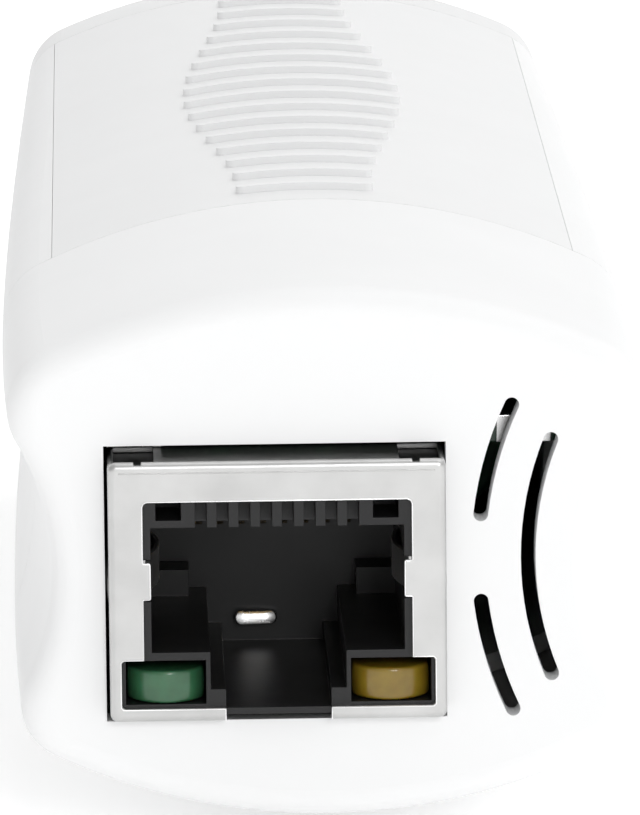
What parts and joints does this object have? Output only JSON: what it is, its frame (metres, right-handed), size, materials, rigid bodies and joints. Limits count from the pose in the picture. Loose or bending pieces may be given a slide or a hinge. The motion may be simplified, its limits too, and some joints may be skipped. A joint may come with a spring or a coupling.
{
  "type": "powerline adapter",
  "caption": "Stick-shaped mains network adapter: shielded RJ45 socket with two light windows at one end, round mains pins at the other, waisted white case with vents and raised grip ribs.",
  "frame": {"origin": "centre of the plug face, midway between the two mains pins", "axes": "+Y along the mains pins, out of the plug face; the network socket faces -Y; +Z is the ribbed top"},
  "size_m": [0.0306, 0.1062, 0.0297],
  "materials": {
    "case_plastic": "satin moulded",
    "cover_plastic": "satin moulded",
    "plug_plastic": "satin moulded",
    "button_plastic": "fine texture",
    "zinc_steel": "zinc plated",
    "pin_metal": "nickel plated",
    "sleeve_plastic": "moulded",
    "brown_wire": "satin",
    "blue_wire": "satin",
    "shield_metal": "tin plated sheet",
    "jack_plastic": "moulded",
    "contact_gold": "gold plated",
    "green_lens": "clear tinted",
    "amber_lens": "clear tinted",
    "tinned_wire": "tinned",
    "board_laminate": "solder mask",
    "switch_black": "moulded",
    "moulded_black": "moulded epoxy",
    "film_yellow": "boxed film",
    "varistor_blue": "dipped lacquer",
    "ferrite": "sintered",
    "copper_winding": "enamelled wire",
    "tape_yellow": "wrapped tape",
    "bobbin_plastic": "moulded",
    "can_sleeve": "sleeved can",
    "coupler_white": "moulded",
    "thermal_grey": "soft pad",
    "heat_sink_metal": "bead blasted",
    "crystal_can": "rolled can",
    "core_green": "coated ring",
    "chip_ceramic": "ceramic"
  },
  "bodies": {
    "case": {"front_cap": "case_plastic", "main_shell": "case_plastic", "top_cover": "cover_plastic", "plug_plate": "plug_plastic", "case_screws": "zinc_steel", "switch_body": "switch_black", "line_pin": "pin_metal", "neutral_pin": "pin_metal", "line_sleeve": "sleeve_plastic", "neutral_sleeve": "sleeve_plastic", "line_lead": "brown_wire", "neutral_lead": "blue_wire", "jack_shield": "shield_metal", "jack_housing": "jack_plastic", "jack_pins": "contact_gold", "green_lens": "green_lens", "amber_lens": "amber_lens", "lens_leads": "tinned_wire", "main_board": "board_laminate", "fuse": "moulded_black", "varistor": "varistor_blue", "x2_capacitor": "film_yellow", "choke_core": "ferrite", "choke_windings": "copper_winding", "bridge_rectifier": "moulded_black", "bulk_capacitor": "can_sleeve", "transformer_core": "ferrite", "transformer_bobbin": "bobbin_plastic", "transformer_winding": "tape_yellow", "y_capacitor": "varistor_blue", "optocoupler": "coupler_white", "supply_controller": "moulded_black", "output_capacitor": "can_sleeve", "output_choke": "ferrite", "powerline_chip": "moulded_black", "thermal_pad": "thermal_grey", "heat_sink": "heat_sink_metal", "ethernet_chip": "moulded_black", "memory_chips": "moulded_black", "crystals": "crystal_can", "coupling_transformer": "core_green", "coupling_capacitor": "film_yellow", "ethernet_magnetics": "moulded_black", "board_passives": "chip_ceramic"},
    "button": {"pairing_button": "button_plastic"},
    "plunger": {"switch_plunger": "switch_black"},
    "contacts": {"jack_contacts": "contact_gold"},
    "left_spring": {"left_ground_spring": "shield_metal"},
    "right_spring": {"right_ground_spring": "shield_metal"}
  },
  "joints": [
    {"name": "button_press", "type": "slide", "parent": "case", "child": "button", "axis": [-1, 0, 0], "range_m": [0, 0.0005], "stiffness_N_per_m": 600, "springref_m": -0.0005},
    {"name": "plunger_press", "type": "slide", "parent": "case", "child": "plunger", "axis": [-1, 0, 0], "range_m": [0, 0.0005]},
    {"name": "contacts_flex", "type": "hinge", "parent": "case", "child": "contacts", "pos_m": [-0.00235, -0.0828, 0.00198], "axis": [1, 0, 0], "range_deg": [0, 10], "stiffness_Nm_per_rad": 0.05},
    {"name": "left_spring_flex", "type": "hinge", "parent": "case", "child": "left_spring", "pos_m": [-0.00872, -0.0858, -0.00083], "axis": [0, 0, 1], "range_deg": [0, 3.5], "stiffness_Nm_per_rad": 0.05},
    {"name": "right_spring_flex", "type": "hinge", "parent": "case", "child": "right_spring", "pos_m": [0.00402, -0.0858, -0.00083], "axis": [0, 0, -1], "range_deg": [0, 3.5], "stiffness_Nm_per_rad": 0.05}
  ],
  "couplings": [
    {"joint": "plunger_press", "follows": "button_press", "ratio": 1}
  ]
}
